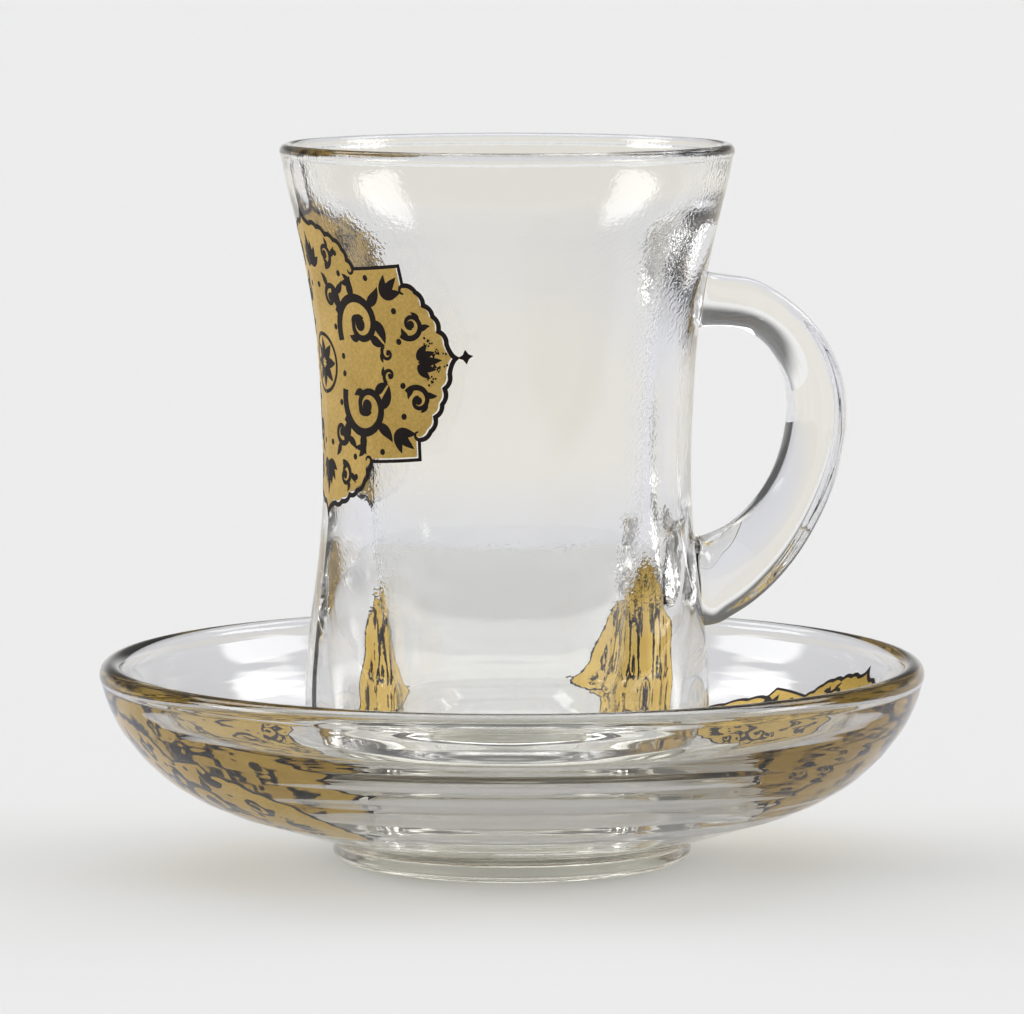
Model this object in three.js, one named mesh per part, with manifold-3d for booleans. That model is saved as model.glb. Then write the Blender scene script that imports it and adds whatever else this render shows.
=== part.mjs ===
// Pressed glass tea mug with a loop handle, standing in the well of its glass saucer.
// Millimetres, +Z up. The origin is on the table plane, on the saucer's axis.
// The handle points along +X. Heights are above the table.

import * as THREE from 'three';
import { mergeVertices } from 'three/addons/utils/BufferGeometryUtils.js';
import Module from 'manifold-3d';

// Saucer
const SAUCER_RADIUS = 57.6;
const SAUCER_TOP = 27.7;
const SAUCER_BEAD = 1.7;
const SAUCER_SIDES = 64;
const FOOT_RADIUS = 25.1;
const FOOT_EDGE = 1.0;
const FOOT_HEIGHT = 2.6;
const FOOT_WIDTH = 3.4;
const RECESS_HEIGHT = 3.0;
const WELL_FLOOR = 7.2;
const WELL_RADIUS = 28.4;

// Cup
const STANDING_GAP = 0.3;
const CUP_BASE = WELL_FLOOR + STANDING_GAP;
const CUP_TOP = 99.8;
const CUP_SHIFT = -0.7;
const CUP_SIDES = 56;
const RIM_RADIUS = 31.6;
const RIM_BEAD = 1.05;
const WAIST_RADIUS = 25.7;
const BULGE_RADIUS = 28.25;
const BASE_RADIUS = 24.4;
const DIMPLE_RADIUS = 18.0;
const DIMPLE_DEPTH = 1.4;
const CAVITY_FLOOR = 16.6;

// Handle
const HANDLE_REACH = 49.5;
const HANDLE_TOP = 81.1;
const HANDLE_THICKNESS = 7.5;
const HANDLE_BOTTOM = 29.2;
const HANDLE_LOWER_ROOT = 12.0;
const HANDLE_DEPTH = 9.2;
const HANDLE_ROUNDING = 2.6;
const HANDLE_ROOT = 22.0;
const HANDLE_STEPS = 26;
const ROUNDING_STEPS = 3;

const wasm = await Module();
wasm.setup();

// A point of a half section: distance from the axis, height.
function at(radius, height) {
  return new THREE.Vector2(radius, height);
}

// Points of a smooth curve through the given stations.
function smooth(stations, steps) {
  return new THREE.SplineCurve(stations).getPoints(steps);
}

// Points of a circular arc round (radius, height), turning from one angle to another, in degrees.
function arc(radius, height, size, from, to, steps) {
  const points = [];
  for (let i = 0; i <= steps; i++) {
    const turn = THREE.MathUtils.degToRad(from + (to - from) * i / steps);
    points.push(at(radius + size * Math.cos(turn), height + size * Math.sin(turn)));
  }
  return points;
}

// Shared-vertex triangles of a closed geometry, without the flat ones that a lathe leaves at its poles.
function solidOf(geometry) {
  geometry.deleteAttribute('normal');
  geometry.deleteAttribute('uv');
  const merged = mergeVertices(geometry, 1e-4);
  const corners = merged.index.array;
  const triangles = [];
  for (let i = 0; i < corners.length; i += 3) {
    const [a, b, c] = corners.slice(i, i + 3);
    if (a !== b && b !== c && c !== a) {
      triangles.push(a, b, c);
    }
  }
  return new wasm.Manifold(new wasm.Mesh({
    numProp: 3,
    vertProperties: new Float32Array(merged.attributes.position.array),
    triVerts: new Uint32Array(triangles),
  }));
}

// A half section turned about the vertical axis. It starts and ends on the axis, the outside first.
function turned(section, sides, shift) {
  const lathe = new THREE.LatheGeometry(section, sides);
  lathe.rotateX(Math.PI / 2);
  lathe.translate(shift, 0, 0);
  return solidOf(lathe);
}

// The solid as a named mesh with flat faces and its own finish.
function meshOf(name, solid, colour) {
  const { vertProperties, triVerts } = solid.getMesh();
  const geometry = new THREE.BufferGeometry();
  geometry.setAttribute('position', new THREE.BufferAttribute(vertProperties, 3));
  geometry.setIndex(new THREE.BufferAttribute(triVerts, 1));
  geometry.computeVertexNormals();
  const material = new THREE.MeshStandardMaterial({
    color: colour,
    roughness: 0.05,
    metalness: 0,
    transparent: true,
    opacity: 0.35,
  });
  const mesh = new THREE.Mesh(geometry, material);
  mesh.name = name;
  return mesh;
}

// Saucer section: recess, foot ring, shallow bowl, round rim, then the bowl's inside and its well.
function saucerSection() {
  const footInner = FOOT_RADIUS - FOOT_WIDTH;
  const beadRadius = SAUCER_RADIUS - SAUCER_BEAD;
  const beadHeight = SAUCER_TOP - SAUCER_BEAD;
  const outside = smooth([
    at(FOOT_RADIUS + 1.2, FOOT_HEIGHT + 0.4),
    at(30, 4.35),
    at(36, 6.3),
    at(42.1, 8.3),
    at(48.1, 11.6),
    at(52.4, 15.6),
    at(55.7, 20.4),
    at(SAUCER_RADIUS - 0.2, 24.6),
  ], 12);
  const inside = smooth([
    at(beadRadius - SAUCER_BEAD + 0.1, beadHeight - 1),
    at(52.3, 20.8),
    at(48.4, 16.1),
    at(42.6, 12.4),
    at(36, 10.2),
    at(31, 8.8),
    at(WELL_RADIUS + 0.6, 8.1),
  ], 9);
  return [
    at(0, RECESS_HEIGHT),
    at(footInner - 0.6, RECESS_HEIGHT),
    at(footInner, RECESS_HEIGHT - 0.8),
    at(footInner, 0.4),
    at(footInner + 0.4, 0),
    ...arc(FOOT_RADIUS - FOOT_EDGE, FOOT_EDGE, FOOT_EDGE, -90, 0, 2),
    at(FOOT_RADIUS - 0.3, FOOT_HEIGHT - 0.3),
    at(FOOT_RADIUS + 0.1, FOOT_HEIGHT + 0.1),
    ...outside,
    ...arc(beadRadius, beadHeight, SAUCER_BEAD, 0, 180, 6),
    ...inside,
    at(WELL_RADIUS, WELL_FLOOR + 0.2),
    at(WELL_RADIUS - 0.6, WELL_FLOOR),
    at(0, WELL_FLOOR),
  ];
}

// Cup outside: dimpled base, rounded heel, bulge, waist, and a flare up to the rim.
function cupOutside() {
  return [
    at(0, CUP_BASE + DIMPLE_DEPTH),
    at(DIMPLE_RADIUS * 0.6, CUP_BASE + DIMPLE_DEPTH * 0.8),
    at(DIMPLE_RADIUS, CUP_BASE),
    at(BASE_RADIUS - 1.8, CUP_BASE),
    ...smooth([
      at(BASE_RADIUS, CUP_BASE + 0.5),
      at(26.8, 11.2),
      at(27.9, 17),
      at(BULGE_RADIUS, 24),
      at(27.65, 32),
      at(26.35, 42),
      at(WAIST_RADIUS, 50.5),
      at(25.9, 64),
      at(26.6, 74),
      at(28.05, 83.2),
      at(29.55, 90),
      at(30.8, 95.2),
      at(RIM_RADIUS - 0.35, 97.9),
    ], 18),
  ];
}

// Cup inside, from just under the rim down to the middle of the cavity's floor.
function cupInside() {
  return [
    ...smooth([
      at(RIM_RADIUS - 2 * RIM_BEAD - 0.1, 98.2),
      at(26.2, 94),
      at(22.6, 87.5),
      at(20.5, 79),
      at(19.2, 62),
      at(18.0, 43),
      at(16.6, 30),
      at(14.6, 22),
      at(11.4, 18),
    ], 16),
    at(6.5, CAVITY_FLOOR + 0.25),
    at(0, CAVITY_FLOOR),
  ];
}

// The loop of the handle in its own plane, as one outline that starts and ends inside the wall.
function handleOutline() {
  const outer = smooth([
    at(HANDLE_ROOT, HANDLE_TOP - 0.2),
    at(29.7, HANDLE_TOP),
    at(35.2, 80.4),
    at(40.8, 77.3),
    at(45.6, 72.6),
    at(48.7, 66.6),
    at(HANDLE_REACH, 60.5),
    at(48.4, 53.6),
    at(45.4, 46.3),
    at(40.9, 39.6),
    at(35.4, 34.6),
    at(29.4, 31.4),
    at(HANDLE_ROOT, HANDLE_BOTTOM),
  ], HANDLE_STEPS);
  const inner = smooth([
    at(HANDLE_ROOT, HANDLE_BOTTOM + HANDLE_LOWER_ROOT),
    at(28, 43.6),
    at(32.6, 45.3),
    at(36.6, 48.4),
    at(39.6, 52.5),
    at(41.5, 57.8),
    at(HANDLE_REACH - HANDLE_THICKNESS, 62.2),
    at(41.3, 66.6),
    at(39.0, 70.4),
    at(35.2, 72.9),
    at(29.6, HANDLE_TOP - HANDLE_THICKNESS),
    at(HANDLE_ROOT, HANDLE_TOP - HANDLE_THICKNESS - 0.1),
  ], HANDLE_STEPS);
  return new THREE.Shape([...outer, ...inner]);
}

// The outline given its depth, with every edge rounded, standing in the plane y = 0.
function handleSolid() {
  const flat = HANDLE_DEPTH - 2 * HANDLE_ROUNDING;
  const loop = new THREE.ExtrudeGeometry(handleOutline(), {
    depth: flat,
    steps: 1,
    bevelThickness: HANDLE_ROUNDING,
    bevelSize: HANDLE_ROUNDING,
    bevelOffset: -HANDLE_ROUNDING,
    bevelSegments: ROUNDING_STEPS,
  });
  loop.translate(0, 0, -flat / 2);
  loop.rotateX(Math.PI / 2);
  loop.translate(CUP_SHIFT, 0, 0);
  return solidOf(loop);
}

// Cup with its handle as one body: the turned wall, and the loop cut off where the cavity begins.
function cupSolid() {
  const outside = cupOutside();
  const inside = cupInside();
  const rim = arc(RIM_RADIUS - RIM_BEAD, CUP_TOP - RIM_BEAD, RIM_BEAD, 0, 180, 6);
  const body = turned([...outside, ...rim, ...inside], CUP_SIDES, CUP_SHIFT);
  const lid = inside[0].y;
  const cavity = turned([...inside].reverse().concat(at(0, lid)), CUP_SIDES, CUP_SHIFT);
  return body.add(handleSolid().subtract(cavity));
}

const teaGlass = new THREE.Group();
teaGlass.add(meshOf('cup', cupSolid(), 0xe4e9e5));
teaGlass.add(meshOf('saucer', turned(saucerSection(), SAUCER_SIDES, 0), 0xdfe4df));

export default teaGlass;
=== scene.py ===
"""The looks of a pressed glass tea mug and its saucer: clear glass with fired gold and black prints.

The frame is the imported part's own: +Z up, the handle along +X, the origin on the table under the
saucer's middle. Shapes are worked out in millimetres and become metres when their mesh is made.
"""
import math

import bmesh
import bpy
import numpy as np
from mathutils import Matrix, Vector


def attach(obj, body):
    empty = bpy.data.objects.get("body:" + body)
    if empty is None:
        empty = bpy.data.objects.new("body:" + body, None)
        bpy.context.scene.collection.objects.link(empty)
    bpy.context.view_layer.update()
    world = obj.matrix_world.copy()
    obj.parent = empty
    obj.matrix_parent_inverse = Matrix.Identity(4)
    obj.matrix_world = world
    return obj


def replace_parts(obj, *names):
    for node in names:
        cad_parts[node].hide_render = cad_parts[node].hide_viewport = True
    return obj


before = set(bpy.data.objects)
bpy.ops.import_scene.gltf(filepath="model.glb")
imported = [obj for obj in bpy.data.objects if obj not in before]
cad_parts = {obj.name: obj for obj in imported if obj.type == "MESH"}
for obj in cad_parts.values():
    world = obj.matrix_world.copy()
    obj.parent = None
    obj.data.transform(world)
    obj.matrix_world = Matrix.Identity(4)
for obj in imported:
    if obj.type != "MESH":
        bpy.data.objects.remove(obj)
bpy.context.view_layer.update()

MM = 0.001

# Edges of a print that turn by more than this many degrees are shaded sharp
SHARP_ANGLE = 50

# Cup, in millimetres. Radii are from its own axis, heights are above the table.
CUP_SHIFT = -0.7
CUP_BASE = 7.5
CUP_TOP = 99.8
RIM_RADIUS = 31.6
RIM_BEAD = 1.05
CUP_DIMPLE = ((1.5, 8.9), (9, 8.75), (15, 8.1), (18, 7.5))
CUP_HEEL = ((23.2, 7.56), (23.9, 7.75))
CUP_OUTSIDE = (
    (24.4, 8.0), (26.8, 11.2), (27.9, 17), (28.25, 24), (27.65, 32), (26.35, 42), (25.7, 50.5),
    (25.9, 64), (26.6, 74), (28.05, 83.2), (29.55, 90), (30.8, 95.2), (31.3, 97.95),
)
CUP_CAVITY = (
    (28.9, 96.3), (28.2, 93.4), (26.8, 90), (24.9, 86), (22.6, 80.3), (20.6, 73), (19.3, 62),
    (18.5, 43), (17.3, 31), (16.4, 24), (15.4, 19.5), (13.3, 16.1), (9.8, 14.6), (5, 14.3),
    (1.2, 14.3),
)
CUP_COLUMNS = 240
HEEL_ROWS = 30
WAIST_ROWS = 34
FLARE_ROWS = 26
CAVITY_ROWS = 130

# The mould's parting line opposite the handle: its rise, its reach to each side, the heights over
# which it fades in and out, and the extra columns of the grid beside its crease, in degrees
SEAM_HEIGHT = 0.26
SEAM_REACH = 5.5
SEAM_FOOT = (9, 15)
SEAM_HEAD = (96.7, 98.2)
SEAM_COLUMNS = (-1.0, -0.6, -0.25, 0.25, 0.6, 1.0)

# Handle
HANDLE_DEPTH = 9.2
HANDLE_FILLET = 1.5
HANDLE_OUTER_ROUNDNESS = 6.5
HANDLE_INNER_ROUNDNESS = 2.0
HANDLE_RINGS = 72
HANDLE_OUTER_EDGE = (
    (30.8, 81.1), (35.2, 80.4), (40.8, 77.3), (45.6, 72.6), (48.7, 66.6), (49.5, 60.5),
    (48.4, 53.6), (45.4, 46.3), (40.9, 39.6), (35.4, 34.6), (31.0, 32.1),
)
HANDLE_INNER_EDGE = (
    (29.6, 73.6), (32.2, 73.5), (35.3, 72.9), (39.0, 70.4), (41.3, 66.6), (42.0, 62.2),
    (41.5, 57.8), (39.6, 52.5), (36.6, 48.4), (32.6, 45.3), (29.8, 44.2),
)
ROOT_COLUMNS = 14
ROOT_ROWS = 18
FILLET_RINGS = 9
FILLET_PULL = 1.6
CLOSING_SHARES = (0.34, 0.67, 1.0)
UPPER_ROOT = (69.6, 85.1)
LOWER_ROOT = (26.6, 47.4)

# Saucer
SAUCER_COLUMNS = 320
RECESS_HEIGHT = 3.0
WELL_FLOOR = 7.2
SAUCER_OUTER_STATIONS = (
    (26.3, 3.0), (30, 4.35), (36, 6.3), (42.1, 8.3), (48.1, 11.6), (52.4, 15.6), (55.7, 20.4),
    (57.35, 24.9), (57.55, 25.6),
)
SAUCER_INNER_STATIONS = (
    (24.0, 7.2), (26.5, 7.35), (29.3, 8.3), (32, 9.6), (36, 11.6), (42.6, 14.5), (48.5, 18.3),
    (52.4, 22.2), (54.15, 25.6),
)
SAUCER_BEAD = 1.7
SAUCER_BEAD_RADIUS = 55.9
SAUCER_BEAD_HEIGHT = 26.0

# Rings left in the saucer's mould: the pitch and the height of each set
TURNING_MARKS = ((4.6, 0.025), (1.9, 0.009))

# Print: how the gold field misses its outline, in share and millimetres
GOLD_SHRINK = 0.982
GOLD_SLIP = (-0.1, 0.18)

# Print: how far its faces stand proud of the glass and reach into it
GOLD_FACES = (0.03, 0.06)
LINE_FACES = (0.045, 0.075)

# Cup print: the height of its middle, and how much its level lines rise with their squared width
CUP_PRINT_HEIGHT = 70.0
CUP_PRINT_RISE = 0.0028

# Saucer prints: degrees from the handle, way of the middle along the bowl's outline from the well,
# rise of the level lines, half width at which that rise is full, and how the lower half is squeezed
SAUCER_PRINTS = (175.1, -0.9)
SAUCER_PRINT_REACH = 13.95
SAUCER_PRINT_BOW = 1.4
SAUCER_PRINT_SHOULDER = 19.0
SAUCER_LOWER_SHARE = 0.41

# Small step along an outline for reading its slope
SLOPE_STEP = 0.05

# Glass: refractive index, absorption per metre where it has a tint with depth, width of the
# plunger's grain, and the heights between which that grain fades in from its least share. The tint
# with depth is far stronger than the glass's own: partly its body colour, partly painted shade,
# darker where the glass is thick
GLASS_IOR = 1.517
DEPTH_TINT_DENSITY = 28.0
GRAIN_WIDTH = 0.55
GRAIN_FADE = (34, 44)
GRAIN_LEAST = 0.1

# Pressed glass: its tint, and the colour of the sheet that lets light through to the table
GLASS_TINT = "#FEFEFC"
GLASS_SHADE = "#DADAD8"

# Light that a print lets through for shadows and for the table
PRINT_LIGHT = (0.985, 0.975, 0.94, 1)

# Gold enamel: widths of its grain and of its patches, where the ramp from thin to thick paste
# starts and stops, and its sheen
GOLD_GRAIN = 0.45
GOLD_PATCH = 9
GOLD_RAMP = (0.32, 0.68)
GOLD_METALLIC = 0.15
GOLD_ROUGHNESS = 0.42

# Table: the paper as the camera sees it, and as the glass sees it near the set, far behind it and
# under the foot, where it is a painted pool of light for the light that the glass gathers there,
# with the distances in metres between which one turns into the other
PLAIN_PAPER = (0.90, 0.90, 0.90, 1)
COOL_PAPER = (0.79, 0.795, 0.845, 1)
WARM_PAPER = (0.86, 0.838, 0.785, 1)
PAINTED_POOL_PAPER = (0.99, 0.99, 0.96, 1)
COOL_TO_WARM = (0.15, 0.42)
PAINTED_POOL_TO_COOL = (0.024, 0.032)
TABLE_HALF = 15.0
TABLE_DROP = 0.02

# Studio
PHOTO_AZIMUTH = math.radians(-18.4)
CAMERA_DISTANCE = 0.856
CAMERA_HEIGHT = 0.140
CAMERA_AIM = 0.049
CAMERA_LENS = 216.9
CAMERA_SENSOR = 36

# Backdrop: it fades out over these sines of the height, and in over these cosines from straight
# behind the set. Then its strength, the cosines over which the dark room turns from its front to
# its back strength, and the plain grey that the camera sees past the table
BACKDROP_TOP = (0.03, 0.24)
BACKDROP_SIDES = (0.35, 0.75)
BACKDROP_STRENGTH = 0.72
ROOM_TURN = (-0.6, 0.3)
ROOM_STRENGTHS = (0.08, 0.16)
SEEN_BACKDROP = (0.83, 0.83, 0.83, 1)

# Softboxes: direction as right, away from the camera and up, half width, half height, strength
SOFTBOXES = (
    (0, 0.30, 1.0, 0.60, 0.30, 2.8),
    (-0.84, 0.02, 0.48, 0.27, 0.15, 6.0),
    (0.84, 0.02, 0.48, 0.27, 0.15, 6.0),
    (-0.50, 0.47, 0.74, 0.20, 0.14, 3.0),
    (0.50, 0.47, 0.74, 0.20, 0.14, 3.0),
)
SOFTBOX_EDGE = (0.72, 1.14)


def curve_through(stations, count):
    """A smooth curve through the stations. Between two of them it is a cubic whose end slopes are
    those of the chords between their neighbours, and the samples are even along the chords."""
    points = np.array(stations, float)
    reach = lengths_along(points)
    slopes = np.gradient(points, reach, axis=0)
    t = np.linspace(0, reach[-1], count)
    span = np.clip(np.searchsorted(reach, t, side="right") - 1, 0, len(points) - 2)
    width = (reach[span + 1] - reach[span])[:, None]
    s = (t - reach[span])[:, None] / width
    return (
        (2 * s**3 - 3 * s**2 + 1) * points[span]
        + (s**3 - 2 * s**2 + s) * width * slopes[span]
        + (3 * s**2 - 2 * s**3) * points[span + 1]
        + (s**3 - s**2) * width * slopes[span + 1]
    )


def arc(centre, radius, start, stop, count):
    """Points of a circle round centre, from the start angle to the stop angle in degrees."""
    turn = np.radians(np.linspace(start, stop, count))
    return np.column_stack([centre[0] + radius * np.cos(turn), centre[1] + radius * np.sin(turn)])


def even_steps(path, count):
    """The path resampled at equal lengths along itself."""
    reach = lengths_along(path)
    t = np.linspace(0, reach[-1], count)
    return np.column_stack([np.interp(t, reach, path[:, 0]), np.interp(t, reach, path[:, 1])])


def level(start, stop, height, count):
    """Points at one height, evenly from one radius to another."""
    return np.column_stack([np.linspace(start, stop, count), np.full(count, height)])


def lengths_along(path):
    """The way along the path from its start to each of its points."""
    return np.concatenate([[0], np.cumsum(np.linalg.norm(np.diff(path, axis=0), axis=1))])


def make_mesh(name, points, faces, materials=(), face_material=None, outward=True,
              sharp_edges=False):
    """A smooth-shaded object from points in millimetres and faces as lists of corner numbers."""
    mesh = bpy.data.meshes.new(name)
    mesh.from_pydata((np.asarray(points) * MM).tolist(), [], [tuple(f) for f in faces])
    for material in materials:
        mesh.materials.append(material)
    if face_material is not None:
        mesh.polygons.foreach_set("material_index", np.asarray(face_material, np.int32))
    mesh.polygons.foreach_set("use_smooth", np.ones(len(mesh.polygons), bool))
    mesh.validate()
    if sharp_edges:
        mesh.set_sharp_from_angle(angle=math.radians(SHARP_ANGLE))
    if outward:
        shell = bmesh.new()
        shell.from_mesh(mesh)
        bmesh.ops.recalc_face_normals(shell, faces=shell.faces)
        shell.to_mesh(mesh)
        shell.free()
    piece = bpy.data.objects.new(name, mesh)
    bpy.context.scene.collection.objects.link(piece)
    return piece


def turned_faces(rows, columns, first_pole, last_pole, holes=()):
    """Quads of a grid that closes on itself across, with a fan at each end, less the cells in holes.
    Returns the faces and the row that each one starts from."""
    row, column = np.meshgrid(np.arange(rows - 1), np.arange(columns), indexing="ij")
    across = (column + 1) % columns
    keep = np.ones(row.shape, bool)
    for hole_rows, hole_columns in holes:
        keep[np.ix_(hole_rows, hole_columns)] = False
    corners = np.stack([
        row * columns + column,
        row * columns + across,
        (row + 1) * columns + across,
        (row + 1) * columns + column,
    ], axis=-1)
    faces = corners[keep].tolist()
    starts = row[keep].tolist()
    top = (rows - 1) * columns
    for c in range(columns):
        n = (c + 1) % columns
        faces.append([first_pole, n, c])
        faces.append([last_pole, top + c, top + n])
        starts += [0, rows - 1]
    return faces, starts


def bridge(one, other):
    """Quads between two closed rings of corner numbers of the same length."""
    return np.column_stack([one, np.roll(one, -1), np.roll(other, -1), other]).tolist()


# The cup's wall

OUTER_WALL = curve_through(CUP_OUTSIDE, 2000)


def wall_radius(height):
    """The outer radius of the cup's wall at a height, read off its outline."""
    return np.interp(height, OUTER_WALL[:, 1], OUTER_WALL[:, 0])


def seam_rise(angle, height):
    """The mould's parting line opposite the handle: a low roof whose two slopes meet in a crease.
    Its height is the square of the share of its reach that is left, and fades evenly to nothing at
    the heel and at the rim."""
    away = np.abs(angle % (2 * np.pi) - np.pi) * wall_radius(height)
    fade = np.interp(height, [*SEAM_FOOT, *SEAM_HEAD], [0, 1, 1, 0])
    return SEAM_HEIGHT * np.clip(1 - away / SEAM_REACH, 0, 1) ** 2 * fade


def wall_point(angle, height, proud):
    """A point on the cup's outer wall, moved out by proud along the outline's normal."""
    rise = wall_radius(height + SLOPE_STEP) - wall_radius(height - SLOPE_STEP)
    lean = rise / (2 * SLOPE_STEP)
    size = np.sqrt(1 + lean**2)
    radius = wall_radius(height) + seam_rise(angle, height) + proud / size
    return np.stack([
        CUP_SHIFT + radius * np.cos(angle),
        radius * np.sin(angle),
        height - proud * lean / size,
    ], axis=-1)


def cup_section():
    """The half section of the cup between its two poles: base, wall, rim and cavity.
    Returns its points, the row numbers of both handle roots, and the first row of the cavity."""
    base = np.vstack([
        curve_through(CUP_DIMPLE, 12),
        level(18.4, 22.2, CUP_BASE, 6),
        CUP_HEEL,
    ])
    heights = np.concatenate([
        np.linspace(CUP_OUTSIDE[0][1], LOWER_ROOT[0], HEEL_ROWS)[:-1],
        np.linspace(*LOWER_ROOT, ROOT_ROWS + 1),
        np.linspace(LOWER_ROOT[1], UPPER_ROOT[0], WAIST_ROWS)[1:-1],
        np.linspace(*UPPER_ROOT, ROOT_ROWS + 1),
        np.linspace(UPPER_ROOT[1], 97.9, FLARE_ROWS)[1:],
    ])
    wall = np.column_stack([wall_radius(heights), heights])
    rim = arc((RIM_RADIUS - RIM_BEAD, CUP_TOP - RIM_BEAD), RIM_BEAD, -36, 146, 15)
    under_rim = (rim[-1, 0] - 0.15, rim[-1, 1] - 0.35)
    cavity = curve_through([under_rim, *CUP_CAVITY], CAVITY_ROWS)
    lower = len(base) + HEEL_ROWS - 1
    upper = lower + ROOT_ROWS + WAIST_ROWS - 1
    inner_rim_rows = 4
    points = np.vstack([base, wall, rim, cavity])
    return points, (lower, upper), len(base) + len(wall) + len(rim) - inner_rim_rows


def root_border(first_row, columns):
    """The corner numbers round a handle root, and their place on a square from -1 to 1: along the
    bottom, up the far side, back along the top and down."""
    across, up = 2 * ROOT_COLUMNS, ROOT_ROWS
    i = np.concatenate([
        np.arange(across), np.full(up, across), np.arange(across, 0, -1), np.zeros(up, int),
    ])
    j = np.concatenate([
        np.zeros(across, int), np.arange(up), np.full(across, up), np.arange(up, 0, -1),
    ])
    numbers = (first_row + j) * columns + (i - ROOT_COLUMNS) % columns
    return numbers, i / ROOT_COLUMNS - 1, 2 * j / up - 1


def rounded(angle):
    """Cosine and sine of a rounded rectangle: their powers flatten the sides of a circle. The side
    towards the finger is rounder than the other."""
    c, s = np.cos(angle), np.sin(angle)
    power = 2 / np.where(s > 0, HANDLE_OUTER_ROUNDNESS, HANDLE_INNER_ROUNDNESS)
    return np.sign(c) * np.abs(c) ** power, np.sign(s) * np.abs(s) ** power


def handle_rings(angle):
    """The handle's skin: rounded rectangles strung between its outer and its inner edge curve, from
    the upper root to the lower one."""
    outer = even_steps(curve_through(HANDLE_OUTER_EDGE, 600), HANDLE_RINGS)
    inner = even_steps(curve_through(HANDLE_INNER_EDGE, 600), HANDLE_RINGS)
    across, up = rounded(angle)
    centre, half = (outer + inner) / 2, (outer - inner) / 2
    flat = centre[:, None, :] + half[:, None, :] * up[None, :, None]
    depth = np.broadcast_to(HANDLE_DEPTH / 2 * across, flat.shape[:2])
    return np.stack([CUP_SHIFT + flat[..., 0], depth, flat[..., 1]], axis=-1)


def root_rings(border, u, v, ring, next_ring):
    """The glass round one handle root. From the grid's border three rings close in on the wall to a
    rounded hole, and from there a fillet of cubic curves, level with the wall at one end and in
    line with the handle at the other, rises to the handle's first ring."""
    across, up = rounded(np.arctan2(v, u))
    middle, half = (ring[:, 2].max() + ring[:, 2].min()) / 2, np.ptp(ring[:, 2]) / 2
    hole_y = (HANDLE_DEPTH / 2 + HANDLE_FILLET) * across
    hole_z = middle + (half + HANDLE_FILLET) * up
    rings = []
    for share in CLOSING_SHARES:
        y = border[:, 1] + (hole_y - border[:, 1]) * share
        z = border[:, 2] + (hole_z - border[:, 2]) * share
        rings.append(np.column_stack([CUP_SHIFT + np.sqrt(wall_radius(z) ** 2 - y**2), y, z]))
    start = rings[-1]
    under_y, under_z = HANDLE_DEPTH / 2 * across, middle + half * up
    under = np.column_stack([
        CUP_SHIFT + np.sqrt(wall_radius(under_z) ** 2 - under_y**2), under_y, under_z,
    ])
    leave = (under - start) * FILLET_PULL
    arrive = next_ring - ring
    arrive *= FILLET_PULL * np.linalg.norm(ring - under, axis=1, keepdims=True)
    arrive /= np.linalg.norm(next_ring - ring, axis=1, keepdims=True)
    for t in np.linspace(0, 1, FILLET_RINGS)[1:-1]:
        rings.append(
            (2 * t**3 - 3 * t**2 + 1) * start + (t**3 - 2 * t**2 + t) * leave
            + (3 * t**2 - 2 * t**3) * ring + (t**3 - t**2) * arrive
        )
    return rings


def build_cup(materials):
    """The cup in one closed skin: the turned wall with a hole at each handle root, and the handle
    grown out of one hole and into the other."""
    section, (lower, upper), cavity_row = cup_section()
    even = np.arange(CUP_COLUMNS) * 2 * np.pi / CUP_COLUMNS
    fine = np.pi + np.radians(SEAM_COLUMNS)
    angles = np.sort(np.concatenate([even, fine]))
    columns, rows = len(angles), len(section)
    radius = np.broadcast_to(section[:, :1], (rows, columns)).copy()
    height = np.broadcast_to(section[:, 1:], (rows, columns))
    outside = np.arange(rows)[:, None] < cavity_row
    radius += np.where(outside, seam_rise(angles[None, :], height), 0)
    grid = np.stack([
        CUP_SHIFT + radius * np.cos(angles), radius * np.sin(angles), height,
    ], axis=-1).reshape(-1, 3)
    poles = [[CUP_SHIFT, 0, section[0, 1]], [CUP_SHIFT, 0, section[-1, 1]]]
    points = [grid, np.array(poles)]
    count = len(grid) + 2
    hole_columns = np.arange(-ROOT_COLUMNS, ROOT_COLUMNS) % columns
    holes = [(np.arange(first, first + ROOT_ROWS), hole_columns) for first in (lower, upper)]
    faces, starts = turned_faces(rows, columns, len(grid), len(grid) + 1, holes)

    border, u, v = root_border(upper, columns)
    around = np.arctan2(v, u)
    rings = handle_rings(around)
    chain = [border]
    for ring in root_rings(grid[border], u, v, rings[0], rings[1]) + list(rings):
        points.append(ring)
        chain.append(np.arange(count, count + len(ring)))
        count += len(ring)
    for one, other in zip(chain, chain[1:]):
        faces += bridge(one, other)

    low_border, low_u, low_v = root_border(lower, columns)
    upper_left = 4 * ROOT_COLUMNS + ROOT_ROWS
    order = (upper_left - np.arange(len(border))) % len(border)
    last = rings[-1][order]
    before = rings[-2][order]
    low_chain = [low_border]
    for ring in root_rings(grid[low_border], low_u, low_v, last, before):
        points.append(ring)
        low_chain.append(np.arange(count, count + len(ring)))
        count += len(ring)
    low_chain.append(chain[-1][order])
    for one, other in zip(low_chain, low_chain[1:]):
        faces += bridge(one, other)
    starts += [0] * (len(faces) - len(starts))
    inside = (np.array(starts) >= cavity_row).astype(int)
    return make_mesh("cup_glass", np.vstack(points), faces, materials, inside)


# The saucer

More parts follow.
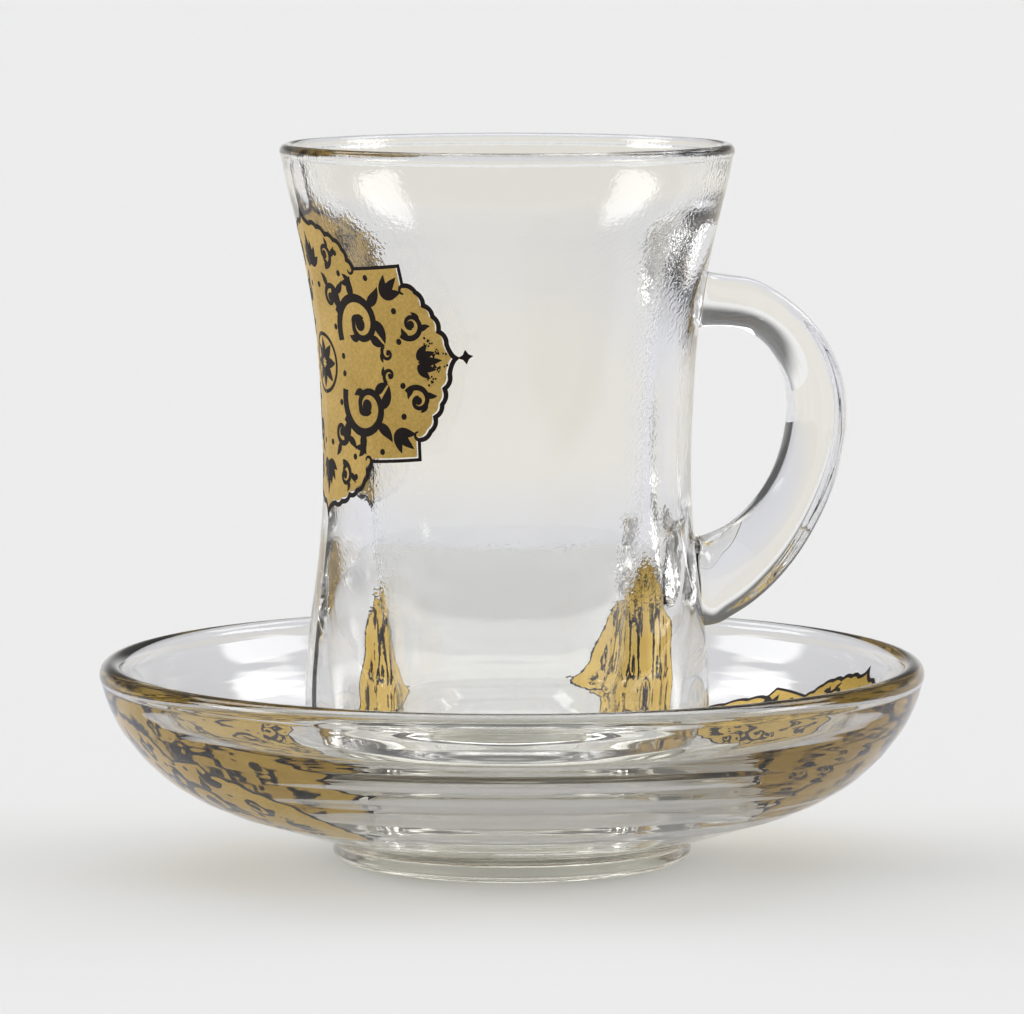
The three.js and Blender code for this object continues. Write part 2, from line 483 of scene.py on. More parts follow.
# Its foot: the ring's edges as arcs with middle, radius, angles and count, the flats between them,
# and the stations of the hollow above the ring
RECESS_CORNER = ((20.7, 2.0), 1.0, 80, 0, 6)
FOOT_INSIDE = [(21.7, 1.4), (21.7, 0.7)]
FOOT_INNER_EDGE = ((22.2, 0.5), 0.5, 180, 270, 5)
FOOT_UNDERSIDE = [(22.9, 0.0), (23.5, 0.0)]
FOOT_OUTER_EDGE = ((24.0, 1.1), 1.1, -90, 12, 10)
FOOT_HOLLOW = [(25.0, 1.75), (24.9, 2.2), (25.3, 2.62), (26.0, 2.9)]

SAUCER_OUTSIDE = curve_through(SAUCER_OUTER_STATIONS, 1200)
SAUCER_INSIDE = curve_through(SAUCER_INNER_STATIONS, 1200)
SAUCER_WAY = lengths_along(SAUCER_INSIDE)


def marked(path):
    """The path with the shallow rings that turning left in the mould: sine waves along the path,
    each with its pitch and height, that fade in and out at the path's ends."""
    way = lengths_along(path)
    fade = np.sin(np.pi * way / way[-1]) ** 0.5
    rise = sum(height * np.sin(2 * np.pi * way / pitch) for pitch, height in TURNING_MARKS) * fade
    along = np.gradient(path, axis=0)
    along /= np.linalg.norm(along, axis=1, keepdims=True)
    return path + np.column_stack([along[:, 1], -along[:, 0]]) * rise[:, None]


def build_saucer(materials):
    """The saucer's half section turned about its axis: recess, foot ring, bowl, rim and well."""
    section = np.vstack([
        level(1.2, 20.4, RECESS_HEIGHT, 14),
        arc(*RECESS_CORNER),
        FOOT_INSIDE,
        arc(*FOOT_INNER_EDGE),
        FOOT_UNDERSIDE,
        arc(*FOOT_OUTER_EDGE),
        curve_through(FOOT_HOLLOW, 8),
        marked(even_steps(SAUCER_OUTSIDE, 130)),
        arc((SAUCER_BEAD_RADIUS, SAUCER_BEAD_HEIGHT), SAUCER_BEAD, -8, 170, 20),
        even_steps(SAUCER_INSIDE[::-1], 80),
        level(22.8, 1.2, WELL_FLOOR, 17),
    ])
    angles = np.arange(SAUCER_COLUMNS) * 2 * np.pi / SAUCER_COLUMNS
    grid = np.stack([
        section[:, :1] * np.cos(angles),
        section[:, :1] * np.sin(angles),
        np.broadcast_to(section[:, 1:], (len(section), SAUCER_COLUMNS)),
    ], axis=-1).reshape(-1, 3)
    poles = np.array([[0, 0, section[0, 1]], [0, 0, section[-1, 1]]])
    faces, _ = turned_faces(len(section), SAUCER_COLUMNS, len(grid), len(grid) + 1)
    return make_mesh("saucer_glass", np.vstack([grid, poles]), faces, materials)


# The printed medallion, drawn flat in millimetres: u across, v up, its middle at the origin

FIELD_HEIGHT = 13.2
LOBE_WIDTH = 11.4
APEX = 20.8

# The control point of the ogee at the apex, the corners of the scallops from there to the square
# shoulder, and of those from the shoulder to each side tip
OGEE_PULL = (0.5, 19.7)
TOP_LOBE = [
    (2.2, 19.3), (4.3, 18.9), (6.4, 17.9), (8.3, 17.2), (9.9, 15.9), (10.5, 14.4),
    (LOBE_WIDTH, FIELD_HEIGHT),
]
CUP_SIDE_LOBE = [
    (19.8, 10.5), (21.6, 9.5), (22.4, 7.6), (23.5, 6.0), (24.0, 3.9), (24.9, 2.0), (26.0, 0),
]
SAUCER_SIDE_LOBE = [
    (18.6, 11.1), (21.4, 10.3), (24.2, 8.9), (26.4, 7.4), (28.2, 5.2), (28.9, 2.8), (29.9, 0),
]
SCALLOP_BULGE = 0.17


def scallops(nodes, bulge):
    """Shallow arcs from node to node, each bulging to the left of its chord by a share of it."""
    parts = []
    t = np.linspace(0, 1, 9)[:-1, None]
    for a, b in zip(np.array(nodes[:-1], float), np.array(nodes[1:], float)):
        chord = b - a
        side = np.array([-chord[1], chord[0]])
        parts.append(a + chord * t + side * 4 * bulge * t * (1 - t))
    return np.vstack(parts)


def bend(a, control, b, count):
    """A quadratic curve from a to b drawn towards control, without its last point."""
    t = np.linspace(0, 1, count + 1)[:-1, None]
    a, control, b = (np.array(p, float) for p in (a, control, b))
    return (1 - t) ** 2 * a + 2 * t * (1 - t) * control + t**2 * b


def medallion_outline(side_lobe):
    """The cusped outline as one closed path: a quarter from the top apex to the side tip, with ogee
    points, scalloped lobes and a square shoulder, mirrored across and down."""
    shoulder = side_lobe[0][0]
    before_tip, tip = side_lobe[-2], side_lobe[-1]
    quarter = np.vstack([
        bend((0, APEX), OGEE_PULL, TOP_LOBE[0], 6),
        scallops(TOP_LOBE, SCALLOP_BULGE),
        bend(TOP_LOBE[-1], (15.6, FIELD_HEIGHT), (shoulder, FIELD_HEIGHT), 12),
        bend((shoulder, FIELD_HEIGHT), (shoulder, 12.6), side_lobe[0], 5),
        scallops(side_lobe[:-1], SCALLOP_BULGE),
        bend(before_tip, (before_tip[0] + 0.3 * (tip[0] - before_tip[0]), 0.5), tip, 6),
    ])
    right = np.vstack([quarter, [tip], (quarter * (1, -1))[:0:-1]])
    left = np.vstack([[(0, -APEX)], (right * (-1, 1))[:0:-1]])
    return np.vstack([right, left])


def ribbon(path, width, closed=False):
    """A strip of the given width, or widths, along a path, mitred at its corners. Returns points
    and faces."""
    path = np.asarray(path, float)
    width = np.broadcast_to(np.asarray(width, float), (len(path),))
    if closed:
        back, ahead = path - np.roll(path, 1, 0), np.roll(path, -1, 0) - path
    else:
        steps = np.diff(path, axis=0)
        back, ahead = np.vstack([steps[:1], steps]), np.vstack([steps, steps[-1:]])
    back = back / np.linalg.norm(back, axis=1, keepdims=True)
    ahead = ahead / np.linalg.norm(ahead, axis=1, keepdims=True)
    along = back + ahead
    along /= np.maximum(np.linalg.norm(along, axis=1, keepdims=True), 1e-9)
    mitre = 1 / np.clip(np.sum(along * back, axis=1), 0.55, 1)
    side = np.column_stack([-along[:, 1], along[:, 0]]) * (width * mitre / 2)[:, None]
    points = np.stack([path - side, path, path + side], axis=1).reshape(-1, 2)
    count = len(path)
    first = np.arange(count if closed else count - 1)
    nxt = (first + 1) % count
    faces = [
        np.column_stack([first * 3 + k, nxt * 3 + k, nxt * 3 + k + 1, first * 3 + k + 1])
        for k in range(2)
    ]
    return points, np.vstack(faces).tolist()


def disc(centre, radius, stretch=(1, 1), count=12):
    """A filled ellipse as a ring of points round its middle."""
    turn = np.arange(count) * 2 * np.pi / count
    ring = np.column_stack([np.cos(turn), np.sin(turn)]) * radius * np.array(stretch) + centre
    faces = [[i, (i + 1) % count, count] for i in range(count)]
    return np.vstack([ring, [centre]]), faces


def leaf(base, heading, length, width, curl):
    """A leaf: a strip that turns by curl degrees over its length, swelling from a point to its
    width and back to a point."""
    s = np.linspace(0, 1, 13)
    turn = np.radians(heading + curl * s)
    step = np.column_stack([np.cos(turn), np.sin(turn)]) * length / 12
    path = np.vstack([[base], np.array(base) + np.cumsum(step[:-1], axis=0)])
    return ribbon(path, width * np.sin(np.pi * s**0.75) + 0.05)


def tendril(centre, start_radius, end_radius, start, stop, width):
    """A spiral whose radius shrinks by the same share in each step, thinning to a round bud."""
    s = np.linspace(0, 1, 46)
    turn = np.radians(start + (stop - start) * s)
    radius = start_radius * (end_radius / start_radius) ** s
    path = np.column_stack([centre[0] + radius * np.cos(turn), centre[1] + radius * np.sin(turn)])
    return ribbon(path, width * (1 - 0.55 * s)), path


def joined(parts):
    """Several sets of points and faces as one."""
    points, faces, count = [], [], 0
    for part_points, part_faces in parts:
        points.append(part_points)
        faces += [[count + i for i in face] for face in part_faces]
        count += len(part_points)
    return np.vstack(points), faces


def mirrored(part, across, up):
    """A drawn part mirrored across and up by factors of 1 or -1, its faces turned to match."""
    points, faces = part
    flipped = [face[::-1] for face in faces] if across * up < 0 else faces
    return points * (across, up), flipped


def gold_field(side_lobe):
    """The gold inside the outline: rings that grow from the middle. It is printed a little small
    and off its place, up and away from the camera, so that a thread of bare glass shows."""
    outline = medallion_outline(side_lobe) * GOLD_SHRINK
    count = len(outline)
    rings = [outline * share for share in np.linspace(1, 0, 25)[:-1]]
    faces = []
    for k in range(len(rings) - 1):
        ring = np.arange(count) + k * count
        faces += bridge(ring, ring + count)
    last = (len(rings) - 1) * count
    middle = len(rings) * count
    faces += [[last + i, last + (i + 1) % count, middle] for i in range(count)]
    return np.vstack(rings + [np.zeros((1, 2))]) + GOLD_SLIP, faces


# The dark lines: the widths on the straights and on the scallops, the hooks' first and last radius
# and width, and the star's corners round its middle with the length of its stem
LINE_WIDTH = 0.46
SCALLOP_WIDTH = 0.66
HOOK_RADII = (0.75, 0.3)
HOOK_WIDTH = 0.5
STAR = [
    (-1.25, 0), (-0.42, 0.32), (0, 1.0), (0.42, 0.32), (1.05, 0), (0.42, -0.32), (0, -1.0),
    (-0.42, -0.32), (0, 0),
]
STAR_STEM = 1.4


def outline_lines(side_lobe):
    """The dark outline, a little heavier on its scallops, with a hook at each inner corner and a
    four-pointed star on a short stem at each side."""
    outline = medallion_outline(side_lobe)
    (shoulder, lobe_top), (tip, _) = side_lobe[0], side_lobe[-1]
    straight = (np.abs(outline[:, 0]) <= shoulder + 0.01) & (
        np.abs(outline[:, 1]) <= FIELD_HEIGHT + 0.01)
    parts = [ribbon(outline, np.where(straight, LINE_WIDTH, SCALLOP_WIDTH), closed=True)]
    for across in (-1, 1):
        for up in (-1, 1):
            foot = (LOBE_WIDTH - 0.75, FIELD_HEIGHT - 0.15)
            hook, _ = tendril(foot, *HOOK_RADII, 10, -190, HOOK_WIDTH)
            parts.append(mirrored(hook, across, up))
            foot = (shoulder - 0.1, lobe_top - 0.75)
            hook, _ = tendril(foot, *HOOK_RADII, 80, 280, HOOK_WIDTH)
            parts.append(mirrored(hook, across, up))
        star = np.array(STAR) + (tip + STAR_STEM, 0)
        faces = [[(i + 1) % 8, i, 8] for i in range(8)]
        parts.append(mirrored((star, faces), across, 1))
    return joined(parts)


# One quarter of the ornament, in millimetres and degrees. A leaf on a stem is the step along the
# stem, heading, length, width and curl.
SCROLL_CENTRE = (11.0, 5.6)
SCROLL_RADII = (5.3, 0.9)
SCROLL_TURN = (205, -315)
SCROLL_WIDTH = 1.35
SCROLL_BUD = 0.95
SCROLL_LEAVES = (
    (5, 150, 3.8, 1.6, -60), (9, 120, 3.2, 1.4, -70), (13, 20, 3.7, 1.5, 50),
    (17, -40, 3.7, 1.5, -50), (21, -60, 3.0, 1.3, 60), (27, 200, 2.2, 1.05, -60),
    (33, 90, 1.8, 0.9, -70),
)

# Small scrolls: middle, radius, start, stop, width, and leaves without their width. Last radius and
# bud are shares of the first radius, and a leaf's width is a share of its length.
SMALL_SCROLLS = (
    ((4.6, 9.3), 2.4, -60, 420, 0.95, ((8, 10, 2.6, 60), (16, 100, 2.4, 50), (3, -80, 2.0, -50))),
    ((20.0, 5.2), 2.2, 215, 640, 0.85, ((4, 150, 1.9, -60), (11, 45, 1.9, -60), (17, 100, 1.7, 60))),
    ((5.2, 15.3), 1.9, 250, 690, 0.8, ((4, 160, 1.7, -50), (10, 20, 1.9, 50), (15, 80, 1.6, 50))),
    ((15.6, 1.5), 1.25, 120, 480, 0.6, ((6, 250, 1.5, 50),)),
)
SMALL_END = 0.24
SMALL_BUD = 0.26
SMALL_LEAF = 0.42

# Fans of leaves from one foot: the foot, width, curl, and each leaf's heading and length
LEAF_FANS = (
    ((16.2, 9.0), 1.35, -18, ((20, 3.3), (52, 3.9), (84, 3.3))),
    ((0.25, 13.6), 1.25, 22, ((14, 2.8), (44, 3.2), (68, 3.4))),
    ((20.3, 0.35), 1.15, -20, ((26, 2.9), (58, 2.7))),
    ((10.2, 11.2), 0.9, 20, ((128, 2.0), (170, 2.2))),
)
DOTS = (
    (6.2, 1.2), (17.7, 3.0), (7.9, 12.6), (13.6, 11.9), (17.6, 7.2), (8.0, 15.4), (1.6, 10.9),
    (4.9, 5.2), (7.6, 7.9),
)
DOT_RADIUS = 0.44

# Leaves on the mirror lines: foot, heading, length, width and curl
SIDE_PALMETTE = ((20.4, 0), 0, 3.6, 1.2, 0)
TOP_PALMETTE = ((0, 13.4), 90, 4.8, 1.3, 0)

# Rosette: its leaves, with length and width, the bare middle, and the ring's radius and width
ROSETTE_LEAVES = 8
ROSETTE_LEAF = (3.0, 1.4)
ROSETTE_HOLE = 0.55
ROSETTE_RING = 4.0
ROSETTE_LINE = 0.55

# Flecks: how many in a quarter, where their wedge starts near the side tip, how long it is, its
# lowest and highest place, and their radii
FLECKS = 26
FLECK_TIP = 24.9
FLECK_REACH = 3.4
FLECK_LOW = 0.6
FLECK_HIGH = 3.0
FLECK_RADII = (0.09, 0.2)


def arabesque():
    """The ornament in the field: a rosette, one large and four small scrolls with their leaves in
    each quarter, palmettes in the lobes and corners, dots, and fine flecks towards the side tips.
    Everything is mirrored across and down."""
    parts = []
    for k in range(ROSETTE_LEAVES):
        turn = 2 * math.pi * k / ROSETTE_LEAVES
        foot = (ROSETTE_HOLE * math.cos(turn), ROSETTE_HOLE * math.sin(turn))
        parts.append(leaf(foot, math.degrees(turn), *ROSETTE_LEAF, 0))
    parts.append(ribbon(arc((0, 0), ROSETTE_RING, 0, 357, 60), ROSETTE_LINE, closed=True))
    scroll, path = tendril(SCROLL_CENTRE, *SCROLL_RADII, *SCROLL_TURN, SCROLL_WIDTH)
    quarter = [scroll, disc(SCROLL_CENTRE, SCROLL_BUD)]
    for step, heading, length, width, curl in SCROLL_LEAVES:
        quarter.append(leaf(path[step], heading, length, width, curl))
    for centre, radius, start, stop, width, leaves in SMALL_SCROLLS:
        small, path = tendril(centre, radius, SMALL_END * radius, start, stop, width)
        quarter += [small, disc(centre, SMALL_BUD * radius)]
        for step, heading, length, curl in leaves:
            quarter.append(leaf(path[step], heading, length, SMALL_LEAF * length, curl))
    for foot, width, curl, leaves in LEAF_FANS:
        quarter += [leaf(foot, heading, length, width, curl) for heading, length in leaves]
    quarter += [disc(centre, DOT_RADIUS) for centre in DOTS]
    rng = np.random.default_rng(7)
    for _ in range(FLECKS):
        spread = rng.random() ** 0.5
        rise = FLECK_LOW + FLECK_HIGH * spread * rng.random()
        centre = (FLECK_TIP - FLECK_REACH * spread, rise)
        quarter.append(disc(centre, rng.uniform(*FLECK_RADII), count=6))
    for across in (-1, 1):
        for up in (-1, 1):
            parts += [mirrored(part, across, up) for part in quarter]
        parts.append(mirrored(leaf(*SIDE_PALMETTE), across, 1))
    for up in (-1, 1):
        parts.append(mirrored(leaf(*TOP_PALMETTE), 1, up))
    return joined(parts)


def printed(name, drawing, place, proud, sunk, material):
    """A drawing laid on the glass as a thin closed body: an outer face proud of the wall, an inner
    face just inside it, where the print and the glass are one, and a narrow edge between them."""
    points, faces = drawing
    edges = {}
    for face in faces:
        for a, b in zip(face, face[1:] + face[:1]):
            edges[(a, b)] = True
    rim = [(a, b) for a, b in edges if (b, a) not in edges]
    count = len(points)
    both = np.vstack([place(points, proud), place(points, -sunk)])
    body = list(faces)
    body += [[count + i for i in reversed(face)] for face in faces]
    body += [[b, a, count + a, count + b] for a, b in rim]
    return make_mesh(name, both, body, [material], outward=False, sharp_edges=True)


def on_cup(points, proud):
    """Places a drawing opposite the handle. The flat print wraps round the wall at each height, and
    on the flaring wall its level lines rise with the square of the way from its middle."""
    height = CUP_PRINT_HEIGHT + points[:, 1] + CUP_PRINT_RISE * points[:, 0] ** 2
    angle = np.pi + points[:, 0] / wall_radius(height)
    return wall_point(angle, height, proud)


def on_saucer(azimuth):
    """Places a drawing on the bowl's inside at an azimuth, its top towards the rim. Its height is
    laid along the bowl's outline, squeezed below its middle so that it ends at the well and bowed
    up by a squared sine of its width. Its width is laid round the bowl."""
    def place(points, proud):
        """Points of the flat drawing on the bowl, moved off it by proud along its normal."""
        up = points[:, 1]
        bow = SAUCER_PRINT_BOW * np.sin(np.pi / 2 * points[:, 0] / SAUCER_PRINT_SHOULDER) ** 2
        way = SAUCER_PRINT_REACH + np.where(up > 0, up + bow, up * SAUCER_LOWER_SHARE + bow)
        radius = np.interp(way, SAUCER_WAY, SAUCER_INSIDE[:, 0])
        height = np.interp(way, SAUCER_WAY, SAUCER_INSIDE[:, 1])
        lean_r = np.interp(way + SLOPE_STEP, SAUCER_WAY, SAUCER_INSIDE[:, 0]) - radius
        lean_z = np.interp(way + SLOPE_STEP, SAUCER_WAY, SAUCER_INSIDE[:, 1]) - height
        length = np.hypot(lean_r, lean_z)
        radius = radius - proud * lean_z / length
        angle = azimuth - points[:, 0] / radius
        return np.column_stack([
            radius * np.cos(angle), radius * np.sin(angle), height + proud * lean_r / length,
        ])
    return place


# Finishes

def linear(code):
    """An sRGB hex code as a linear colour with alpha."""
    values = [int(code[i:i + 2], 16) / 255 for i in (1, 3, 5)]
    return [v / 12.92 if v <= 0.04045 else ((v + 0.055) / 1.055) ** 2.4 for v in values] + [1.0]


def add(tree, kind, values=None, links=None, **settings):
    """Adds a node with its settings, its input values, and links given as input: output socket."""
    node = tree.nodes.new(kind)
    for key, value in settings.items():
        setattr(node, key, value)
    for key, value in (values or {}).items():
        node.inputs[key].default_value = value
    for key, socket in (links or {}).items():
        tree.links.new(socket, node.inputs[key])
    return node


def new_material(name):
    """An empty node material and its tree."""
    material = bpy.data.materials.new(name)
    material.use_nodes = True
    material.node_tree.nodes.clear()
    return material, material.node_tree


def noise(tree, place, width, detail):
    """A noise texture whose lumps are about the given width in millimetres."""
    return add(tree, "ShaderNodeTexNoise", {"Scale": 1 / (width * MM), "Detail": detail},
               {"Vector": place})


def let_light_through(tree, skin, colour):
    """The skin for what is seen, and a clear sheet of the colour for the light that falls through
    to the table: for shadow rays and for rays that leave a matt surface."""
    clear = add(tree, "ShaderNodeBsdfTransparent", {"Color": colour})
    path = add(tree, "ShaderNodeLightPath")
    light = add(tree, "ShaderNodeMath", links={
        0: path.outputs["Is Shadow Ray"], 1: path.outputs["Is Diffuse Ray"]}, operation="MAXIMUM")
    return add(tree, "ShaderNodeMixShader", links={
        0: light.outputs[0], 1: skin.outputs[0], 2: clear.outputs[0]}).outputs[0]


def pressed_glass(name, tint, shade, wave_mm, wave_height, grain_height=0.0, depth_tint_and_shade=None):
    """Clear soda-lime glass pressed in a mould: slow waves left by the mould bend what is seen
    through it, a fine grain left by the plunger fades towards the base, and light reaches what
    stands behind it."""
    material, tree = new_material(name)
    place = add(tree, "ShaderNodeTexCoord").outputs["Object"]
    waves = noise(tree, place, wave_mm, 1.5)
    bump = add(tree, "ShaderNodeBump", {"Strength": 1.0, "Distance": wave_height * MM},
               {"Height": waves.outputs["Fac"]})
    if grain_height:
        grain = noise(tree, place, GRAIN_WIDTH, 1.0)
        height = add(tree, "ShaderNodeSeparateXYZ", links={"Vector": place})
        fade = add(tree, "ShaderNodeMapRange", {
            "From Min": GRAIN_FADE[0] * MM, "From Max": GRAIN_FADE[1] * MM,
            "To Min": GRAIN_LEAST, "To Max": 1.0,
        }, {"Value": height.outputs["Z"]})
        bump = add(tree, "ShaderNodeBump", {"Distance": grain_height * MM}, {
            "Height": grain.outputs["Fac"], "Normal": bump.outputs["Normal"],
            "Strength": fade.outputs["Result"]})
    glass = add(tree, "ShaderNodeBsdfPrincipled", {
        "Base Color": linear(tint), "Roughness": 0.0, "IOR": GLASS_IOR, "Transmission Weight": 1.0,
    }, {"Normal": bump.outputs["Normal"]})
    finish = {"Surface": let_light_through(tree, glass, linear(shade))}
    if depth_tint_and_shade:
        body = add(tree, "ShaderNodeVolumeAbsorption", {
            "Color": linear(depth_tint_and_shade), "Density": DEPTH_TINT_DENSITY})
        finish["Volume"] = body.outputs[0]
    add(tree, "ShaderNodeOutputMaterial", links=finish)
    return material


def gold_enamel(name, thin, thick):
    """Fired gold enamel: a satin print, a little uneven where the paste lay thicker."""
    material, tree = new_material(name)
    place = add(tree, "ShaderNodeTexCoord").outputs["Object"]
    grain = noise(tree, place, GOLD_GRAIN, 4.0)
    patch = noise(tree, place, GOLD_PATCH, 2.0)
    both = add(tree, "ShaderNodeMath", {1: 0.5}, {0: grain.outputs["Fac"]}, operation="MULTIPLY")
    both = add(tree, "ShaderNodeMath", {1: 0.5}, {0: patch.outputs["Fac"], 2: both.outputs[0]},
               operation="MULTIPLY_ADD")
    colour = add(tree, "ShaderNodeValToRGB", links={"Fac": both.outputs[0]})
    for element, position, code in zip(colour.color_ramp.elements, GOLD_RAMP, (thin, thick)):
        element.position = position
        element.color = linear(code)
    bump = add(tree, "ShaderNodeBump", {"Strength": 0.5, "Distance": 0.02 * MM},
               {"Height": grain.outputs["Fac"]})
    skin = add(tree, "ShaderNodeBsdfPrincipled", {
        "Metallic": GOLD_METALLIC, "Roughness": GOLD_ROUGHNESS,
    }, {"Base Color": colour.outputs["Color"], "Normal": bump.outputs["Normal"]})
    surface = let_light_through(tree, skin, PRINT_LIGHT)
    add(tree, "ShaderNodeOutputMaterial", links={"Surface": surface})
    return material


def dark_enamel():
    """Fired black-brown enamel: nearly black, browner where it is thin."""
    material, tree = new_material("fired_dark_enamel")
    place = add(tree, "ShaderNodeTexCoord").outputs["Object"]
    grain = noise(tree, place, 0.6, 3.0)
    colour = add(tree, "ShaderNodeValToRGB", links={"Fac": grain.outputs["Fac"]})
    colour.color_ramp.elements[0].color = linear("#0E0807")
    colour.color_ramp.elements[1].color = linear("#2A1C14")
    skin = add(tree, "ShaderNodeBsdfPrincipled", {"Roughness": 0.5, "Specular IOR Level": 0.2},
               {"Base Color": colour.outputs["Color"]})
    surface = let_light_through(tree, skin, PRINT_LIGHT)
    add(tree, "ShaderNodeOutputMaterial", links={"Surface": surface})
    return material


def table_top():
    """A plain pale matt sheet. Seen through glass it is cool near the set, warm far behind it, and
    brighter under the foot: a painted pool of light for the light that the glass gathers there."""
    material, tree = new_material("matt_paper")
    place = add(tree, "ShaderNodeTexCoord").outputs["Object"]
    grain = noise(tree, place, 1.1, 2.0)
    bump = add(tree, "ShaderNodeBump", {"Strength": 0.05, "Distance": 0.02 * MM},
               {"Height": grain.outputs["Fac"]})
    behind = add(tree, "ShaderNodeVectorMath",
                 {1: (-math.sin(PHOTO_AZIMUTH), math.cos(PHOTO_AZIMUTH), 0)}, {0: place},
                 operation="DOT_PRODUCT").outputs["Value"]
    far = add(tree, "ShaderNodeMapRange", {
        "From Min": COOL_TO_WARM[0], "From Max": COOL_TO_WARM[1],
        "To Min": 0.0, "To Max": 1.0}, {"Value": behind})
    paper = add(tree, "ShaderNodeMixRGB", {"Color1": COOL_PAPER, "Color2": WARM_PAPER},
                {"Fac": far.outputs["Result"]})
    # Painted light: the paper turns brighter near the axis, a pool for the light that the glass
    # gathers under the foot
    away = add(tree, "ShaderNodeVectorMath", links={0: place}, operation="LENGTH").outputs["Value"]
    under = add(tree, "ShaderNodeMapRange", {
        "From Min": PAINTED_POOL_TO_COOL[0], "From Max": PAINTED_POOL_TO_COOL[1],
        "To Min": 1.0, "To Max": 0.0}, {"Value": away})
    paper = add(tree, "ShaderNodeMixRGB", {"Color2": PAINTED_POOL_PAPER}, {
        "Fac": under.outputs["Result"], "Color1": paper.outputs["Color"]})
    path = add(tree, "ShaderNodeLightPath")
    seen = add(tree, "ShaderNodeMixRGB", {"Color2": PLAIN_PAPER},
               {"Fac": path.outputs["Is Camera Ray"], "Color1": paper.outputs["Color"]})
    skin = add(tree, "ShaderNodeBsdfDiffuse", links={
        "Color": seen.outputs["Color"], "Normal": bump.outputs["Normal"]})
    add(tree, "ShaderNodeOutputMaterial", links={"Surface": skin.outputs[0]})
    return material


# Studio

def studio_world():
    """A dark room with a pale low backdrop behind the set and five bright softboxes that the
    glass mirrors. What the camera sees past the table is plain pale."""
    world = bpy.data.worlds.new("studio")
    bpy.context.scene.world = world
    world.use_nodes = True
    tree = world.node_tree
    tree.nodes.clear()
    way = add(tree, "ShaderNodeTexCoord").outputs["Generated"]

    def along(direction):
        """The cosine between the way looked in and a direction."""
        return add(tree, "ShaderNodeVectorMath", {1: tuple(direction)}, {0: way},
                   operation="DOT_PRODUCT").outputs["Value"]

    def ramp(socket, low, high, start, stop):
        """Start below low, stop above high, and a smooth step between."""
        return add(tree, "ShaderNodeMapRange", {
            "From Min": low, "From Max": high, "To Min": start, "To Max": stop,
        }, {"Value": socket}, interpolation_type="SMOOTHSTEP").outputs["Result"]

    def times(one, other):
        """The product of two sockets."""
        return add(tree, "ShaderNodeMath", links={0: one, 1: other}, operation="MULTIPLY").outputs[0]

    def plus(one, other):
        """The sum of two sockets."""
        return add(tree, "ShaderNodeMath", links={0: one, 1: other}, operation="ADD").outputs[0]

    def view_direction(right, back, up):
        """A direction given as seen by the camera: right, away from it, and up."""
        c, s = math.cos(PHOTO_AZIMUTH), math.sin(PHOTO_AZIMUTH)
        return Vector((right * c - back * s, right * s + back * c, up)).normalized()

    back = along(view_direction(0, 1, 0))
    low = ramp(along((0, 0, 1)), *BACKDROP_TOP, 1.0, 0.0)
    wide = ramp(back, *BACKDROP_SIDES, 0.0, BACKDROP_STRENGTH)
    total = plus(times(low, wide), ramp(back, *ROOM_TURN, *ROOM_STRENGTHS))
    for right, depth, up, half_width, half_height, strength in SOFTBOXES:
        middle = view_direction(right, depth, up)
        flat = Vector((0, 0, 1)).cross(middle).normalized()
        if abs(middle.z) > 0.9:
            flat = view_direction(1, 0, 0)
        rise = middle.cross(flat).normalized()
        ahead = along(middle)
        inside = None
        for axis, half in ((flat, half_width), (rise, half_height)):
            slope = add(tree, "ShaderNodeMath", links={0: along(axis), 1: ahead},
                        operation="DIVIDE").outputs[0]
            size = add(tree, "ShaderNodeMath", links={0: slope}, operation="ABSOLUTE").outputs[0]
            edge = ramp(size, half * SOFTBOX_EDGE[0], half * SOFTBOX_EDGE[1], 1.0, 0.0)
            inside = edge if inside is None else times(inside, edge)
        inside = times(inside, ramp(ahead, 0.0, 0.1, 0.0, strength))
        total = plus(total, inside)
    grey = add(tree, "ShaderNodeBackground", {"Color": SEEN_BACKDROP, "Strength": 1.0})
    studio = add(tree, "ShaderNodeBackground", {"Color": (1, 1, 1, 1)}, {"Strength": total})
    path = add(tree, "ShaderNodeLightPath")
    mixed = add(tree, "ShaderNodeMixShader", links={
        0: path.outputs["Is Camera Ray"], 1: studio.outputs[0], 2: grey.outputs[0]})
    add(tree, "ShaderNodeOutputWorld", links={"Surface": mixed.outputs[0]})


def table(material):
    """A pale sheet so wide that its edge is out of sight."""
    mesh = bpy.data.meshes.new("table")
    corners = [(-1, -1), (1, -1), (1, 1), (-1, 1)]
    mesh.from_pydata([(TABLE_HALF * x, TABLE_HALF * y, 0) for x, y in corners], [], [(0, 1, 2, 3)])
    mesh.materials.append(material)
    sheet = bpy.data.objects.new("table", mesh)
    sheet.location.z = -TABLE_DROP * MM
    bpy.context.scene.collection.objects.link(sheet)


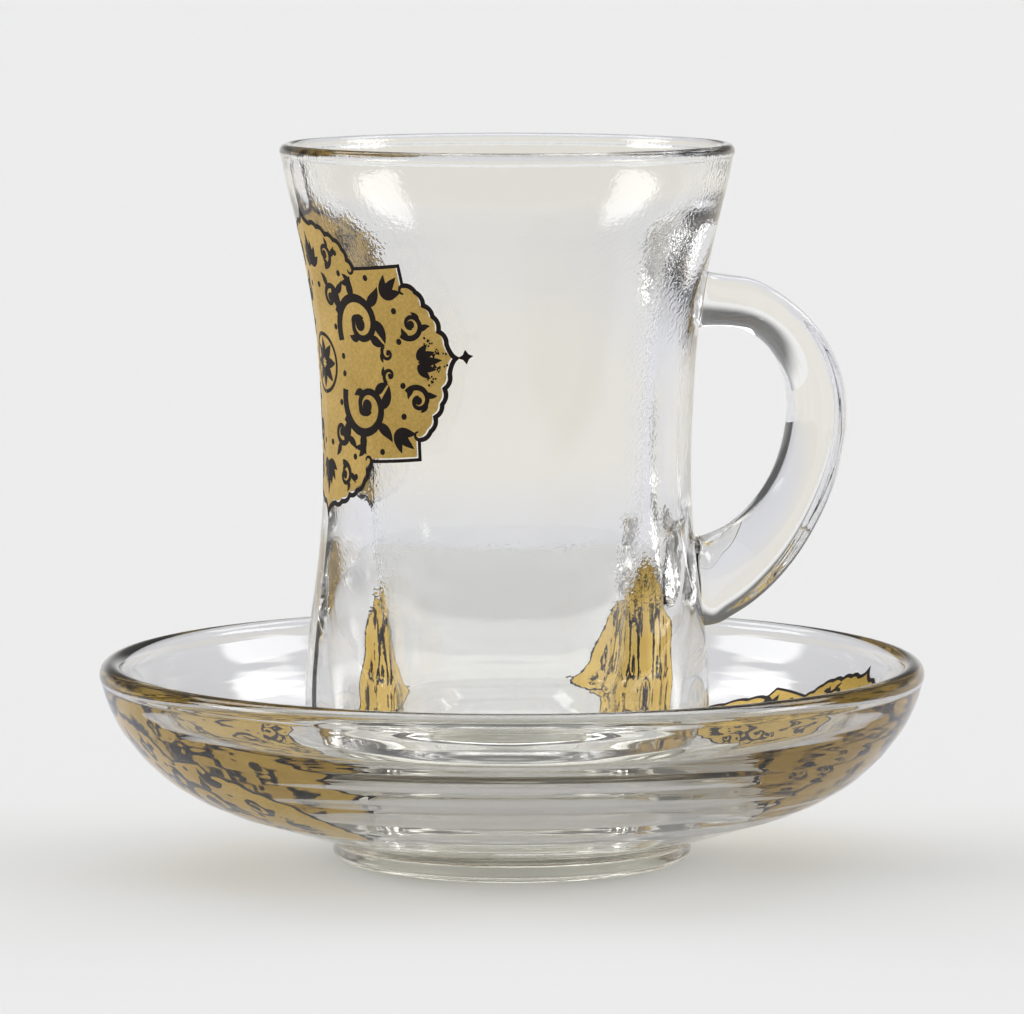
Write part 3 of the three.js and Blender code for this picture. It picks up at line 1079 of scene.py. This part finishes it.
def camera():
    """The photograph's view: a long lens, low, from the handle's near side."""
    data = bpy.data.cameras.new("camera")
    data.lens = CAMERA_LENS
    data.sensor_width = CAMERA_SENSOR
    data.clip_start = 0.01
    data.clip_end = 100
    eye = bpy.data.objects.new("camera", data)
    eye.location = (
        math.sin(PHOTO_AZIMUTH) * CAMERA_DISTANCE,
        -math.cos(PHOTO_AZIMUTH) * CAMERA_DISTANCE,
        CAMERA_HEIGHT,
    )
    aim = Vector((0, 0, CAMERA_AIM)) - eye.location
    eye.rotation_euler = aim.to_track_quat("-Z", "Y").to_euler()
    bpy.context.scene.collection.objects.link(eye)
    bpy.context.scene.camera = eye


def render_settings():
    """Denoising, and enough bounces for light to cross both pieces of glass."""
    scene = bpy.context.scene
    scene.view_settings.view_transform = "Standard"
    scene.cycles.use_denoising = True
    scene.cycles.max_bounces = 15
    scene.cycles.transmission_bounces = 15
    scene.cycles.glossy_bounces = 12
    scene.cycles.transparent_max_bounces = 16
    scene.cycles.diffuse_bounces = 2
    scene.cycles.caustics_reflective = False
    scene.cycles.caustics_refractive = False
    scene.cycles.sample_clamp_indirect = 8.0


camera()
studio_world()
render_settings()
table(table_top())

outer_glass = pressed_glass("pressed_glass_outside", GLASS_TINT, GLASS_SHADE, wave_mm=14,
                            wave_height=0.02)
inner_glass = pressed_glass("pressed_glass_inside", GLASS_TINT, GLASS_SHADE, wave_mm=9,
                            wave_height=0.03, grain_height=0.028)
# The saucer's tint with depth is partly its body colour and partly painted shade: it darkens the
# long paths through its thick walls
saucer_clear = pressed_glass("pressed_glass_saucer", "#FDFDFA", "#FFFFFE", wave_mm=12,
                             wave_height=0.02, depth_tint_and_shade="#CBC4B3")
cup_gold = gold_enamel("fired_gold_enamel", "#C9A243", "#F1CA6C")
# The saucer's gold: a copy of the cup's gold made a little brighter, as painted light for the
# print's underside, which the lamps leave dim
brightened_saucer_gold = gold_enamel("fired_gold_enamel_saucer_brightened", "#CFA63E", "#F3CF62")
dark = dark_enamel()

cup = build_cup([outer_glass, inner_glass])
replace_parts(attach(cup, "root"), "cup")
saucer = build_saucer([saucer_clear])
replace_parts(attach(saucer, "root"), "saucer")

for where, place, side_lobe, gold in (
    ("cup", on_cup, CUP_SIDE_LOBE, cup_gold),
    ("saucer_far", on_saucer(math.radians(SAUCER_PRINTS[0])), SAUCER_SIDE_LOBE, brightened_saucer_gold),
    ("saucer_near", on_saucer(math.radians(SAUCER_PRINTS[1])), SAUCER_SIDE_LOBE, brightened_saucer_gold),
):
    for part, drawing, faces, finish, slot in (
        ("gold", gold_field(side_lobe), GOLD_FACES, gold, "gold_print"),
        ("outline", outline_lines(side_lobe), LINE_FACES, dark, "dark_print"),
        ("ornament", arabesque(), LINE_FACES, dark, "dark_print"),
    ):
        piece = printed(f"{where}_{part}", drawing, place, *faces, finish)
        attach(piece, "root")
